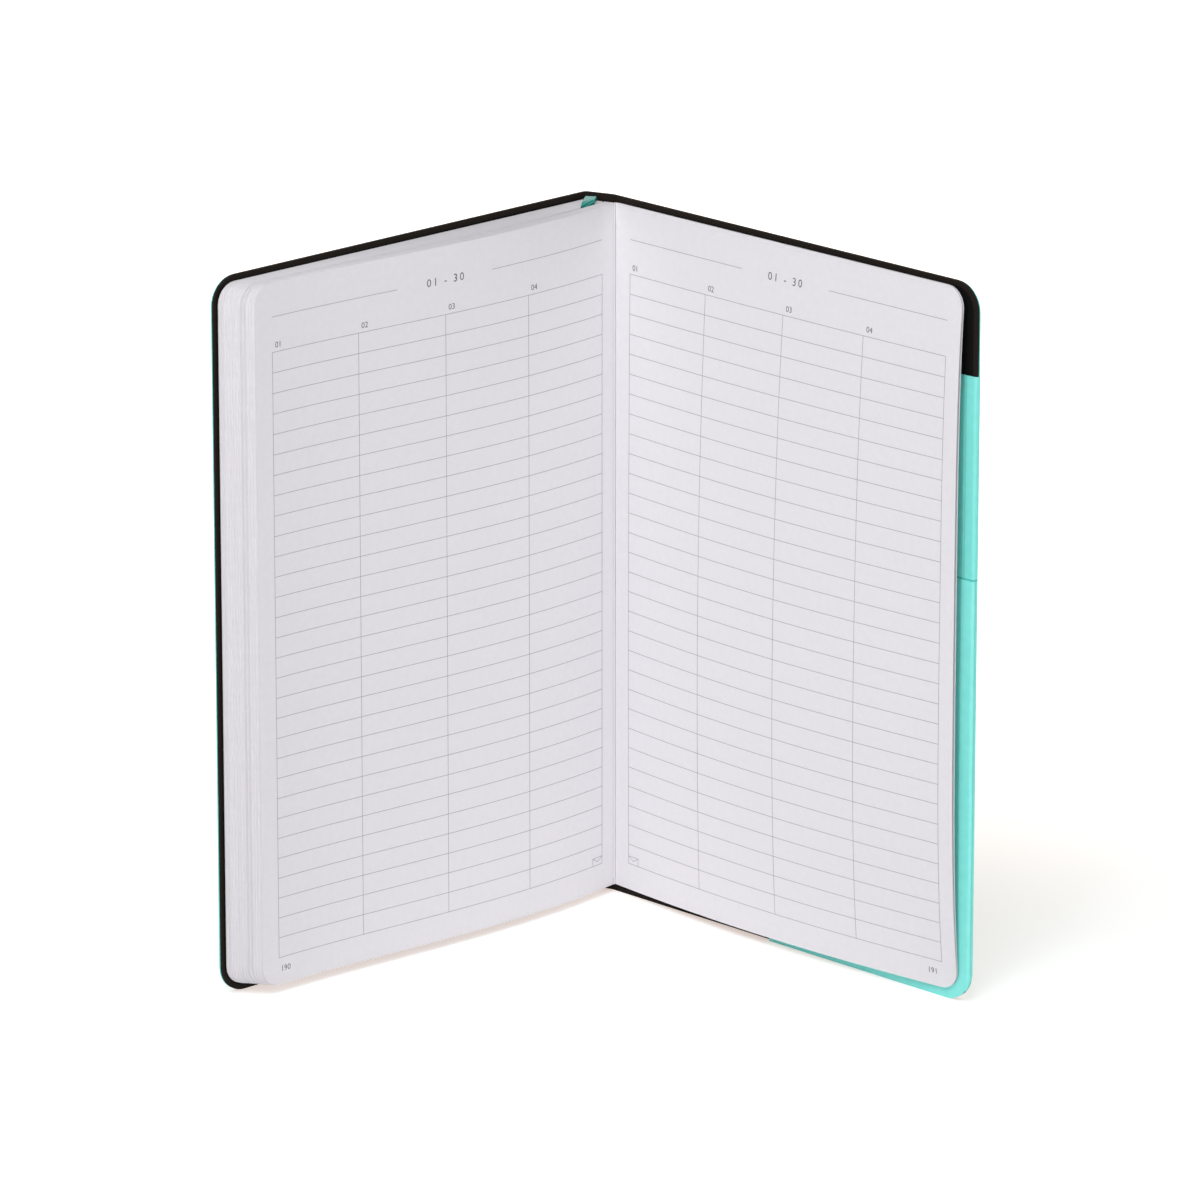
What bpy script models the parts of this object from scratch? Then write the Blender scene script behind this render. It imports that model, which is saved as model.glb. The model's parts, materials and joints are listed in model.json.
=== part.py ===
"""Soft-cover notebook standing open at its last spread, in metres, +Z up, reader on the -Y side."""

import math

import bpy

# Driving dimensions of the cover
MM = 0.001
COVER_W = 140 * MM
COVER_H = 210 * MM
COVER_R = 8 * MM
HEAD_SQUARE = 1.35 * MM
FOOT_SQUARE = 2.75 * MM
FRONT_ANGLE = math.radians(47.5)
BACK_ANGLE = math.radians(46.0)
SPINE_LEAN = math.radians(23.4)
WING = 3.0 * MM
HINGE_STRIP = 5.0 * MM
SKIN_T = 0.45 * MM
BOARD_T = 0.60 * MM
LINING_T = 0.20 * MM
GLUE = 0.10 * MM
LINING_INSET = 1.5 * MM
SCORE_SKIN = 0.25 * MM
SCORE_BOARD = 0.75 * MM

# Text block
SIGNATURES = 12
SIG_T = 0.60 * MM
SIG_LAST_T = 0.50 * MM
SIG_GAP = 0.065 * MM
LEAF_T = 0.20 * MM
LEAF_GAP = 0.10 * MM
PAGE_SHORT = 3.0 * MM
PAGE_STEP = 0.22 * MM
PAGE_R = 6.0 * MM
LEAF_START = 0.60 * MM
CLOSE_FRONT = 0.40 * MM
CLOSE_BACK = 0.15 * MM

# Back of the block, layer by layer from the folds to the spine
BACK_FRONT = 0.10 * MM
BACK_DEPTH = 0.55 * MM
FOLD_BULGE = 0.18 * MM
FOLD_POINTS = 6
LAYER_GAP = 0.12 * MM
THREAD_R = 0.14 * MM
THREAD_END = 24 * MM
THREAD_IN = 0.3 * MM
STITCHES = 5
MULL_T = 0.20 * MM
MULL_END = 12 * MM
RIBBON_W = 6.6 * MM
RIBBON_T = 0.20 * MM
RIBBON_AIR = 0.14 * MM
RIBBON_AFTER = 8
RIBBON_PAGE = 4.5 * MM
RIBBON_TAB = 22 * MM
RIBBON_CLEAR = 0.25 * MM
RIBBON_BELOW = 0.25 * MM
RIBBON_END_Z = 14 * MM
SPINE_CLEAR = 0.20 * MM

# Leaves on the back cover
LEAF_REST = 0.20 * MM
LEAF_AIR = 0.12 * MM
FLY_CLEAR = 0.70 * MM
LAST_SPREAD = math.radians(0.25)
FORE_SQUARE = 1.5 * MM

# Pocket on the inside of the back cover
POCKET_FROM = 64 * MM
POCKET_INSET = 1.6 * MM
POCKET_FOOT = 2.2 * MM
POCKET_HEAD = 26.2 * MM
POCKET_MOUTH = 59.2 * MM
POCKET_PANEL_T = 0.30 * MM
POCKET_THIN = 0.40 * MM
POCKET_THICK = 2.20 * MM
POCKET_R = 10 * MM
POCKET_TOP_R = 0.5 * MM
FOLD_CLEAR = 0.4 * MM
FOLD_GAP = 0.06 * MM
SEAM_W = 1.5 * MM
PLEAT_W = 2.0 * MM
PLEAT_INSET = 0.4 * MM
GUSSET_T = 0.20 * MM

# Directions of the two covers and of the spine between them
FRONT_U = (-math.sin(FRONT_ANGLE), -math.cos(FRONT_ANGLE))
FRONT_N = (math.cos(FRONT_ANGLE), -math.sin(FRONT_ANGLE))
BACK_U = (math.sin(BACK_ANGLE), -math.cos(BACK_ANGLE))
BACK_N = (-math.cos(BACK_ANGLE), -math.sin(BACK_ANGLE))
SPINE_D = (math.cos(SPINE_LEAN), -math.sin(SPINE_LEAN))
SPINE_N = (SPINE_D[1], -SPINE_D[0])
FRONT_TURN = math.atan2(FRONT_U[1], FRONT_U[0])
BACK_TURN = math.atan2(BACK_U[1], BACK_U[0])

# Layers of the cover, and of the back of the block behind the folds
COVER_T = SKIN_T + GLUE + BOARD_T + GLUE + LINING_T
BOARD_AT = SKIN_T + GLUE + BOARD_T / 2
LINING_AT = COVER_T - LINING_T / 2
THREAD_AT = BACK_FRONT + BACK_DEPTH + FOLD_BULGE + LAYER_GAP + THREAD_R
MULL_AT = THREAD_AT + THREAD_R + LAYER_GAP + MULL_T / 2
RIBBON_AT = MULL_AT + MULL_T / 2 + LAYER_GAP + RIBBON_T / 2
FOLD_DEPTH = SKIN_T + GLUE + BOARD_T + SPINE_CLEAR + RIBBON_T / 2 + RIBBON_AT

# Spacing of the folds: the signatures lie flat on one another, the ribbon between two of them
PAGE_W = COVER_W - PAGE_SHORT
PAGE_Z0 = FOOT_SQUARE
PAGE_Z1 = COVER_H - HEAD_SQUARE
_across = SPINE_D[0] * FRONT_N[0] + SPINE_D[1] * FRONT_N[1]
SIG_STEP = (SIG_T + SIG_GAP) / _across
RIBBON_SLOT = (RIBBON_T + 2 * RIBBON_AIR - SIG_GAP) / _across
FOLD_RUNS = [k * SIG_STEP + (RIBBON_SLOT if k >= RIBBON_AFTER else 0) for k in range(SIGNATURES)]
FOLD_RUN = FOLD_RUNS[-1]

# The closed covers lie flat on the block, which sets the first fold and the width of the spine
FLY_AT = SIG_T / 2 + LEAF_GAP + LEAF_T / 2
LEAF_AT = SIG_LAST_T / 2 + LEAF_GAP + LEAF_T / 2
FLYLEAF_OFF = COVER_T + LEAF_REST + LEAF_T / 2
LAST_OFF = FLYLEAF_OFF + LEAF_T + LEAF_AIR
_first_x = COVER_T + CLOSE_FRONT + FLY_AT + LEAF_T / 2 - WING * math.sin(FRONT_ANGLE)
FOLD_LEAD = (_first_x + FOLD_DEPTH * math.sin(SPINE_LEAN)) / math.cos(SPINE_LEAN)
_last_x = _first_x + FOLD_RUN * SPINE_D[0] + LEAF_AT + LEAF_T / 2 + CLOSE_BACK
SPINE_W = (_last_x + LAST_OFF + LEAF_T / 2 - WING * math.sin(BACK_ANGLE)) / math.cos(SPINE_LEAN)


def along(point, direction, length):
    return (point[0] + direction[0] * length, point[1] + direction[1] * length)


# The box of the standing book is centred on the origin
_left = COVER_W * FRONT_U[0]
_right = SPINE_W * SPINE_D[0] + COVER_W * BACK_U[0]
_near = SPINE_W * SPINE_D[1] + COVER_W * BACK_U[1] + COVER_T * BACK_N[1]
FRONT_CORNER = (-(_left + _right) / 2, -_near / 2)
BACK_CORNER = along(FRONT_CORNER, SPINE_D, SPINE_W)
FRONT_AXIS = along(FRONT_CORNER, FRONT_U, WING)
SCORE_AXIS = along(FRONT_AXIS, FRONT_U, HINGE_STRIP)
BACK_AXIS = along(BACK_CORNER, BACK_U, WING)
FIRST_FOLD = along(along(FRONT_CORNER, SPINE_D, FOLD_LEAD), SPINE_N, FOLD_DEPTH)


def srgb(code):
    values = [int(code[i : i + 2], 16) / 255 for i in (0, 2, 4)]
    return [v / 12.92 if v < 0.04045 else ((v + 0.055) / 1.055) ** 2.4 for v in values] + [1]


def material(name, code, roughness):
    made = bpy.data.materials.new(name)
    made.use_nodes = True
    shader = made.node_tree.nodes["Principled BSDF"]
    shader.inputs["Base Color"].default_value = srgb(code)
    shader.inputs["Roughness"].default_value = roughness
    return made


for old in list(bpy.data.objects):
    bpy.data.objects.remove(old, do_unlink=True)
collection = bpy.data.collections.new("Notebook")
bpy.context.scene.collection.children.link(collection)


def axis(name, point, turn, z=0):
    """An empty on a joint's axis, with +X along the sheets that turn on it."""
    empty = bpy.data.objects.new(name, None)
    empty.empty_display_size = 0.01
    collection.objects.link(empty)
    empty.location = (point[0], point[1], z)
    empty.rotation_euler = (0, 0, turn)
    return empty


def flat_curve(name, points, thickness, made):
    curve = bpy.data.curves.new(name, "CURVE")
    curve.dimensions = "2D"
    curve.fill_mode = "BOTH"
    curve.extrude = thickness / 2
    spline = curve.splines.new("POLY")
    spline.points.add(len(points) - 1)
    for point, (x, y) in zip(spline.points, points):
        point.co = (x, y, 0, 1)
    spline.use_cyclic_u = True
    curve.materials.append(made)
    node = bpy.data.objects.new(name, curve)
    collection.objects.link(node)
    return node


def sheet_outline(x0, x1, z0, z1, low_r, high_r, steps=7):
    """A sheet square at the spine, with its two fore-edge corners rounded."""
    points = [(x0, z1), (x0, z0)]
    for i in range(steps + 1):
        a = -math.pi / 2 + math.pi / 2 * i / steps
        points.append((x1 - low_r + low_r * math.cos(a), z0 + low_r + low_r * math.sin(a)))
    for i in range(steps + 1):
        a = math.pi / 2 * i / steps
        points.append((x1 - high_r + high_r * math.cos(a), z1 - high_r + high_r * math.sin(a)))
    return points


def sheet(name, parent, outline, offset, thickness, made):
    """A flat sheet standing on its parent's axis, its middle plane offset along the parent's +Y."""
    node = flat_curve(name, outline, thickness, made)
    node.parent = parent
    node.location = (0, offset, 0)
    node.rotation_euler = (math.pi / 2, 0, 0)
    return node


def upright(name, polygon, z0, z1, made, parent=None):
    """A plan outline carried straight up."""
    node = flat_curve(name, polygon, z1 - z0, made)
    node.location = (0, 0, (z0 + z1) / 2)
    node.parent = parent
    return node


def offset_line(points, distance):
    """The line moved to its right by a distance, with mitred corners."""
    moved = []
    for i, here in enumerate(points):
        before = points[max(i - 1, 0)]
        after = points[min(i + 1, len(points) - 1)]
        sides = []
        for a, b in ((before, here), (here, after)):
            length = math.hypot(b[0] - a[0], b[1] - a[1])
            if length > 0:
                sides.append(((b[1] - a[1]) / length, -(b[0] - a[0]) / length))
        n = (sum(s[0] for s in sides) / len(sides), sum(s[1] for s in sides) / len(sides))
        scale = distance / (n[0] ** 2 + n[1] ** 2)
        moved.append((here[0] + n[0] * scale, here[1] + n[1] * scale))
    return moved


def band(points, near, far):
    return offset_line(points, near) + offset_line(points, far)[::-1]


skin = material("Turquoise leatherette", "5CC9C3", 0.5)
black = material("Black cover board", "1C1A1A", 0.7)
lining = material("Black lining paper", "141313", 0.6)
paper = material("White writing paper", "EDEBEE", 0.8)
cloth = material("Spine gauze", "D8D4C8", 0.9)
glued = material("Sewn and glued folds", "E2DED4", 0.8)
thread = material("Linen thread", "E8E4DA", 0.8)
satin = material("Teal ribbon", "21857D", 0.45)
pocket = material("Turquoise pocket paper", "7FDCD6", 0.5)

# Spine of the cover, with the two short wings that lean into the covers
for name, near, far, score, made in (
    ("spine_skin", 0, SKIN_T, SCORE_SKIN, skin),
    ("spine_board", SKIN_T + GLUE, SKIN_T + GLUE + BOARD_T, SCORE_BOARD, black),
):
    line = [
        along(FRONT_CORNER, FRONT_U, WING - score),
        FRONT_CORNER,
        BACK_CORNER,
        along(BACK_CORNER, BACK_U, WING - score),
    ]
    upright(name, band(line, near, far), 0, COVER_H, made)

# Front cover: the hinge strip by the spine, then the panel that opens on its score
front_hinge = axis("axis_front_hinge", FRONT_AXIS, FRONT_TURN)
for name, at, thickness, score, made in (
    ("front_hinge_skin", SKIN_T / 2, SKIN_T, SCORE_SKIN, skin),
    ("front_hinge_board", BOARD_AT, BOARD_T, SCORE_BOARD, black),
):
    strip = [
        (score, COVER_H),
        (score, 0),
        (HINGE_STRIP - SCORE_SKIN, 0),
        (HINGE_STRIP - SCORE_SKIN, COVER_H),
    ]
    sheet(name, front_hinge, strip, at, thickness, made)
front_cover = axis("axis_front_cover", SCORE_AXIS, FRONT_TURN)
front_w = COVER_W - WING - HINGE_STRIP
front_outline = sheet_outline(SCORE_SKIN, front_w, 0, COVER_H, COVER_R, COVER_R)
lining_r = COVER_R - LINING_INSET
front_lining = sheet_outline(
    LINING_INSET, front_w - LINING_INSET, LINING_INSET, COVER_H - LINING_INSET, lining_r, lining_r
)
sheet("front_cover_skin", front_cover, front_outline, SKIN_T / 2, SKIN_T, skin)
sheet("front_cover_board", front_cover, front_outline, BOARD_AT, BOARD_T, black)
sheet("front_cover_lining", front_cover, front_lining, LINING_AT, LINING_T, lining)

# Back cover: one panel that opens on its axis by the spine
back_cover = axis("axis_back_cover", BACK_AXIS, BACK_TURN)
back_w = COVER_W - WING
for name, at, thickness, score, made in (
    ("back_cover_skin", SKIN_T / 2, SKIN_T, SCORE_SKIN, skin),
    ("back_cover_board", BOARD_AT, BOARD_T, SCORE_BOARD, black),
):
    outline = sheet_outline(score, back_w, 0, COVER_H, COVER_R, COVER_R)
    sheet(name, back_cover, outline, -at, thickness, made)
back_lining = sheet_outline(
    LINING_INSET, back_w - LINING_INSET, LINING_INSET, COVER_H - LINING_INSET, lining_r, lining_r
)
sheet("back_cover_lining", back_cover, back_lining, -LINING_AT, LINING_T, lining)

# Pocket: back panel glued to the lining, front panel hinged on the bottom fold, three closing strips
pocket_x0 = POCKET_FROM - WING
pocket_x1 = back_w - POCKET_INSET
pocket_back_top = COVER_H - POCKET_HEAD
pocket_front_top = pocket_back_top - POCKET_MOUTH
panel_back = sheet_outline(pocket_x0, pocket_x1, POCKET_FOOT, pocket_back_top, POCKET_R, POCKET_TOP_R, 6)
back_panel_at = COVER_T + GLUE + POCKET_PANEL_T / 2
sheet("pocket_back_panel", back_cover, panel_back, -back_panel_at, POCKET_PANEL_T, pocket)
panel_base = COVER_T + GLUE + POCKET_PANEL_T
panel_lean = math.atan2(POCKET_THICK - POCKET_THIN, pocket_x1 - pocket_x0)
panel_front_w = (pocket_x1 - pocket_x0) / math.cos(panel_lean)
pocket_local = (pocket_x0, -(panel_base + POCKET_THIN))
pocket_axis = axis("axis_pocket", pocket_local, -panel_lean, POCKET_FOOT)
pocket_axis.parent = back_cover
panel_front = sheet_outline(
    0, panel_front_w, FOLD_CLEAR, pocket_front_top - POCKET_FOOT, POCKET_R, POCKET_TOP_R, 6
)
sheet("pocket_front_panel", pocket_axis, panel_front, -POCKET_PANEL_T / 2, POCKET_PANEL_T, pocket)
fold_lean = math.tan(panel_lean)
pleat_x = pocket_x1 - PLEAT_INSET
pleat_in = pleat_x - PLEAT_W
pleat_near = panel_base + FOLD_GAP
pleat_far = panel_base + POCKET_THIN + (pleat_x - pocket_x0) * fold_lean - 2 * FOLD_GAP
pleat_mid = (pleat_near + pleat_far) / 2
pleat = [
    (pleat_x, -pleat_near),
    (pleat_in, -pleat_mid),
    (pleat_x, -pleat_far),
    (pleat_x, -(pleat_far - GUSSET_T)),
    (pleat_in + 2 * GUSSET_T, -pleat_mid),
    (pleat_x, -(pleat_near + GUSSET_T)),
]
gusset_z0 = POCKET_FOOT + POCKET_R + FOLD_CLEAR
upright("pocket_fore_gusset", pleat, gusset_z0, pocket_front_top, pocket, back_cover)
seam_x = pocket_x0 + FOLD_GAP
seam_far = panel_base + POCKET_THIN - FOLD_GAP
seam = [
    (seam_x, -(panel_base + FOLD_GAP)),
    (seam_x, -seam_far),
    (seam_x + SEAM_W, -seam_far),
    (seam_x + SEAM_W, -(panel_base + FOLD_GAP)),
]
upright("pocket_side_seam", seam, POCKET_FOOT + FOLD_CLEAR, pocket_front_top, pocket, back_cover)
fold_x0 = seam_x + SEAM_W + FOLD_CLEAR
fold_x1 = pocket_x1 - POCKET_R - FOLD_CLEAR
foot = [(fold_x0, -(panel_base + FOLD_GAP))]
for x in (fold_x0, fold_x1):
    foot.append((x, -(panel_base + POCKET_THIN + (x - pocket_x0) * fold_lean - 2 * FOLD_GAP)))
foot.append((fold_x1, -(panel_base + FOLD_GAP)))
upright("pocket_bottom_fold", foot, POCKET_FOOT, POCKET_FOOT + GUSSET_T, pocket, back_cover)

# Text block: twelve sewn signatures, each turning on its own fold
folds = [along(FIRST_FOLD, SPINE_D, run) for run in FOLD_RUNS]
for k, fold in enumerate(folds):
    turn = axis(f"axis_signature_{k + 1:02d}", fold, FRONT_TURN)
    outline = sheet_outline(
        LEAF_START, PAGE_W - k * PAGE_STEP, PAGE_Z0, PAGE_Z1, PAGE_R, PAGE_R, 6
    )
    thick = SIG_LAST_T if k == SIGNATURES - 1 else SIG_T
    sheet(f"signature_{k + 1:02d}", turn, outline, 0, thick, paper)
    if k == 0:
        sheet("front_flyleaf", turn, outline, -FLY_AT, LEAF_T, paper)
leaf_fold = along(folds[-1], FRONT_N, LEAF_AT)
leaf_axis = axis("axis_leaf_095", leaf_fold, FRONT_TURN)
leaf_outline = sheet_outline(
    LEAF_START, PAGE_W - SIGNATURES * PAGE_STEP, PAGE_Z0, PAGE_Z1, PAGE_R, PAGE_R, 6
)
sheet("leaf_095", leaf_axis, leaf_outline, 0, LEAF_T, paper)

# Leaves on the back cover: the flyleaf, and the last leaf that turns on it
back_page_w = COVER_W - WING - FORE_SQUARE
fly_rise = GLUE + POCKET_THICK + 2 * POCKET_PANEL_T + FLY_CLEAR - LEAF_REST
fly_turn = BACK_TURN - math.atan2(fly_rise, pocket_x1)
fly_fold = along(BACK_AXIS, BACK_N, FLYLEAF_OFF)
fly_axis = axis("axis_back_flyleaf", fly_fold, fly_turn)
back_outline = sheet_outline(LEAF_START, back_page_w, PAGE_Z0, PAGE_Z1, PAGE_R, PAGE_R, 6)
sheet("back_flyleaf", fly_axis, back_outline, 0, LEAF_T, paper)
last_fold = along(BACK_AXIS, BACK_N, LAST_OFF)
last_axis = axis("axis_leaf_096", last_fold, fly_turn - LAST_SPREAD)
sheet("leaf_096", last_axis, back_outline, 0, LEAF_T, paper)


def behind(run, depth):
    """A plan point behind the folds: run along the back of the block, depth towards the spine."""
    return along(along(FIRST_FOLD, SPINE_D, run), SPINE_N, -depth)


# Back of the block: glued folds with their round backs, sewing thread and gauze
back_line = [behind(-SIG_T / 2, BACK_FRONT), behind(FOLD_RUN + SIG_T / 2, BACK_FRONT)]
for run in reversed(FOLD_RUNS):
    for i in range(FOLD_POINTS):
        a = math.pi * i / (FOLD_POINTS - 1)
        depth = BACK_FRONT + BACK_DEPTH + FOLD_BULGE * math.sin(a)
        back_line.append(behind(run + SIG_T / 2 * math.cos(a), depth))
upright("sewn_back", back_line[::-1], PAGE_Z0, PAGE_Z1, glued)
stitch = bpy.data.curves.new("sewing_thread", "CURVE")
stitch.dimensions = "3D"
stitch.bevel_depth = THREAD_R
stitch.bevel_resolution = 1
stitch.use_fill_caps = True
stations = [THREAD_END + (COVER_H - 2 * THREAD_END) * i / (STITCHES - 1) for i in range(STITCHES)]
path = []
for i, z in enumerate(stations):
    ends = (THREAD_IN, FOLD_RUN - THREAD_IN)
    for run in ends if i % 2 == 0 else ends[::-1]:
        path.append((*behind(run, THREAD_AT), z))
spline = stitch.splines.new("POLY")
spline.points.add(len(path) - 1)
for point, place in zip(spline.points, path):
    point.co = (*place, 1)
stitch.materials.append(thread)
collection.objects.link(bpy.data.objects.new("sewing_thread", stitch))
mull = [
    behind(0, MULL_AT - MULL_T / 2),
    behind(FOLD_RUN, MULL_AT - MULL_T / 2),
    behind(FOLD_RUN, MULL_AT + MULL_T / 2),
    behind(0, MULL_AT + MULL_T / 2),
]
upright("spine_gauze", mull[::-1], MULL_END, COVER_H - MULL_END, cloth)

# Ribbon: glued behind the gauze, over the head, down between two signatures
slot_fold = along(folds[RIBBON_AFTER - 1], SPINE_D, (SIG_STEP + RIBBON_SLOT) / 2)
near_in = along(slot_fold, FRONT_U, RIBBON_PAGE)
far_in = along(slot_fold, FRONT_U, RIBBON_PAGE + RIBBON_W)
near_back = behind((FOLD_RUN + RIBBON_W) / 2, RIBBON_AT)
far_back = behind((FOLD_RUN - RIBBON_W) / 2, RIBBON_AT)


def between(a, b, part):
    return (a[0] + (b[0] - a[0]) * part, a[1] + (b[1] - a[1]) * part)


ribbon_foot = PAGE_Z1 + RIBBON_CLEAR
ribbon_rise = COVER_H - RIBBON_BELOW - RIBBON_T / 2 - ribbon_foot
stops = [(0, PAGE_Z1 - RIBBON_TAB), (0, ribbon_foot)]
for part in (0.06, 0.25, 0.5, 0.75, 0.94):
    stops.append((part, ribbon_foot + ribbon_rise * math.sin(math.pi * part) ** 0.4))
stops += [(1, ribbon_foot), (1, RIBBON_END_Z)]
mesh = bpy.data.meshes.new("ribbon")
points = []
for part, z in stops:
    points.append((*between(far_back, far_in, part), z))
    points.append((*between(near_back, near_in, part), z))
points = [(x - slot_fold[0], y - slot_fold[1], z) for x, y, z in points]
faces = [(2 * i, 2 * i + 1, 2 * i + 3, 2 * i + 2) for i in range(len(stops) - 1)]
mesh.from_pydata(points, [], faces)
mesh.materials.append(satin)
ribbon = bpy.data.objects.new("ribbon", mesh)
collection.objects.link(ribbon)
ribbon.location = (slot_fold[0], slot_fold[1], 0)
solid = ribbon.modifiers.new("Thickness", "SOLIDIFY")
solid.thickness = RIBBON_T
solid.offset = 0
solid.use_even_offset = True
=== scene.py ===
import json
import math
import random

import bmesh
import bpy
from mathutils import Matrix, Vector


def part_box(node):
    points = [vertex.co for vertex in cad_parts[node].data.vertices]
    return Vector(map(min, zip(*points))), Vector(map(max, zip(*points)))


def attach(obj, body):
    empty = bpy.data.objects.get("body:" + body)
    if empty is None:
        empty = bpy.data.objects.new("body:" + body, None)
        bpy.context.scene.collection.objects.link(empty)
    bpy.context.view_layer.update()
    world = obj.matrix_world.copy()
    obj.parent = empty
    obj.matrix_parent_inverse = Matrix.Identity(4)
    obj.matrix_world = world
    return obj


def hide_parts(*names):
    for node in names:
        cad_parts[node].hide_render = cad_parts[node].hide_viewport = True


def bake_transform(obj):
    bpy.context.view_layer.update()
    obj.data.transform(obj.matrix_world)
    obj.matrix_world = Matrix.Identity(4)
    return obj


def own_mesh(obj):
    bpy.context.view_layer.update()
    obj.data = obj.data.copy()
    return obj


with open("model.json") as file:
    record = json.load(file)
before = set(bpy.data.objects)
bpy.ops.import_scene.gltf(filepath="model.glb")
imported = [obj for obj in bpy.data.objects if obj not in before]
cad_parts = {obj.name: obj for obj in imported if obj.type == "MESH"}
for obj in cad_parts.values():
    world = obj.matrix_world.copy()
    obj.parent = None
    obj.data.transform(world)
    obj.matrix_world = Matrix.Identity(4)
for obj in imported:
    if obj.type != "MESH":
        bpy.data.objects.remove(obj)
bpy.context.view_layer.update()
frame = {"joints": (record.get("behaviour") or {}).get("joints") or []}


# Sewn signatures: twelve folded gatherings of uncoated writing paper, eight leaves each.
# They stand on the left of the opening, and the sewing lets every leaf spring up in a low
# arch from its fold, so that it lies flat again when the book is shut.
MM = 0.001
PAGE_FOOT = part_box("signature_01")[0].z
PAGE_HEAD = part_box("signature_01")[1].z
PAGE_WIDTH = 137.0 * MM
PAGE_STEP = 0.22 * MM
PAGE_CORNER = 6.0 * MM
LEAF_PITCH = 0.083 * MM
LEAF_THICK = 0.076 * MM
LEAVES = 8
SIGNATURES = 12
FORE_JITTER = 0.05 * MM
GATHER_JITTER = 0.07 * MM
FRONT_TURN = math.radians(-137.5)
CLOSING = math.radians(47.0)
SPRING_REACH = 125.0 * MM
SPRING_LENGTH = 414.0 * MM
SPINE_SAG = 0.4 * MM
LEFT_RISE = -0.1 * MM
SETTLE_FROM = 12.0 * MM
SETTLE_REACH = 20.0 * MM
SETTLED = {8: (0.0, 0.19 * MM), 9: (-0.19 * MM, 0.0)}
FOLD_COLUMNS = [0.0, 0.8 * MM, 2.0 * MM, 4.0 * MM]
FLAT_STEPS = 20
ARC_STEPS = 6
chance = random.Random(190)


def hinge(name):
    joint = next(each for each in frame["joints"] if each["name"] == name)
    return Vector(joint["pos_m"][:2])


def heading(turn):
    return Vector((math.cos(turn), math.sin(turn)))


def upright(spot, z):
    return Vector((spot.x, spot.y, z))


def spring_length(share):
    """How far the bend of a leaf is drawn out, for its share of the full stack height."""
    return SPRING_LENGTH / math.sqrt(share)


def smooth(share):
    return share * share * (3 - 2 * share)


def sag(run, rise):
    """The standing block sags at its spine, so a page rises a little towards its fore edge."""
    return (SPINE_SAG + rise) * run / PAGE_WIDTH - SPINE_SAG


def left_leaf(fold, lift, share, settle=0.0):
    """Place on a leaf that leans on the front cover, from its run, its height and a depth.
    Settle is how far it sinks into the ribbon's gap, once past the ribbon."""
    def place(run, z, depth):
        spring = smooth(max(0.0, (SPRING_REACH - run) / spring_length(share)))
        along = heading(FRONT_TURN + CLOSING * spring)
        across = Vector((-along.y, along.x))
        sunk = settle * smooth(min(1.0, max(0.0, (run - SETTLE_FROM) / SETTLE_REACH)))
        return upright(fold + along * run + across * (lift + sunk + depth), z + sag(run, LEFT_RISE))
    return place


def leaf_runs(width):
    """Columns across a page: close at the fold, wide on the flat, and along the corner arc."""
    bend = FOLD_COLUMNS[-1]
    flat = width - PAGE_CORNER
    runs = list(FOLD_COLUMNS)
    for step in range(1, FLAT_STEPS + 1):
        runs.append(bend + (flat - bend) * step / FLAT_STEPS)
    for step in range(1, ARC_STEPS + 1):
        runs.append(flat + PAGE_CORNER * math.sin(math.pi / 2 * step / ARC_STEPS))
    return runs


def rounded_span(width, low, high, radius):
    """Lowest and highest point of a sheet at a run, with its two fore corners rounded."""
    def span(run):
        past = min(radius, max(0.0, run - (width - radius)))
        cut = radius - math.sqrt(max(0.0, radius * radius - past * past))
        return low + cut, high - cut
    return span


def add_sheet(shape, runs, rows, span, place, near, far):
    """Adds one closed sheet to a mesh: two faces and the rim around them, laid flat in UV."""
    flat = shape.loops.layers.uv.verify()
    spots = {}
    sides = []
    for depth in (near, far):
        grid = []
        for run in runs:
            low, high = span(run)
            heights = [low + (high - low) * row for row in rows]
            column = [shape.verts.new(place(run, z, depth)) for z in heights]
            spots.update((vert, (run, z)) for vert, z in zip(column, heights))
            grid.append(column)
        sides.append(grid)
    faces = []
    last_run, last_row = len(runs) - 1, len(rows) - 1
    for grid in sides:
        for i in range(last_run):
            for j in range(last_row):
                faces.append((grid[i][j], grid[i + 1][j], grid[i + 1][j + 1], grid[i][j + 1]))
    near_grid, far_grid = sides
    for j in (0, last_row):
        for i in range(last_run):
            faces.append((near_grid[i][j], near_grid[i + 1][j], far_grid[i + 1][j], far_grid[i][j]))
    for i in (0, last_run):
        for j in range(last_row):
            faces.append((near_grid[i][j], near_grid[i][j + 1], far_grid[i][j + 1], far_grid[i][j]))
    made = [shape.faces.new(corners) for corners in faces]
    for face in made:
        for loop in face.loops:
            loop[flat].uv = spots[loop.vert]
    bmesh.ops.recalc_face_normals(shape, faces=made)


def piece(name, shape, material, sharp=35.0):
    """Turns a mesh under construction into a named object with one material."""
    mesh = bpy.data.meshes.new(name)
    shape.to_mesh(mesh)
    shape.free()
    mesh.shade_smooth()
    mesh.set_sharp_from_angle(angle=math.radians(sharp))
    mesh.materials.append(material)
    made = bpy.data.objects.new(name, mesh)
    bpy.context.scene.collection.objects.link(made)
    return made


def linear(code):
    """Turns an sRGB hex colour into the linear RGBA that the shaders take."""
    parts = [int(code[i:i + 2], 16) / 255 for i in (1, 3, 5)]
    bent = [c / 12.92 if c <= 0.04045 else ((c + 0.055) / 1.055) ** 2.4 for c in parts]
    return (*bent, 1.0)


def add(tree, kind, inputs=None, **settings):
    """Adds one node with its settings, and links or sets its inputs."""
    made = tree.nodes.new(kind)
    for name, value in settings.items():
        setattr(made, name, value)
    for socket, value in (inputs or {}).items():
        if isinstance(value, bpy.types.NodeSocket):
            tree.links.new(value, made.inputs[socket])
        else:
            made.inputs[socket].default_value = value
    return made


def new_material(name):
    """An empty node material and its tree."""
    material = bpy.data.materials.new(name)
    material.use_nodes = True
    material.node_tree.nodes.clear()
    return material, material.node_tree


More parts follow.
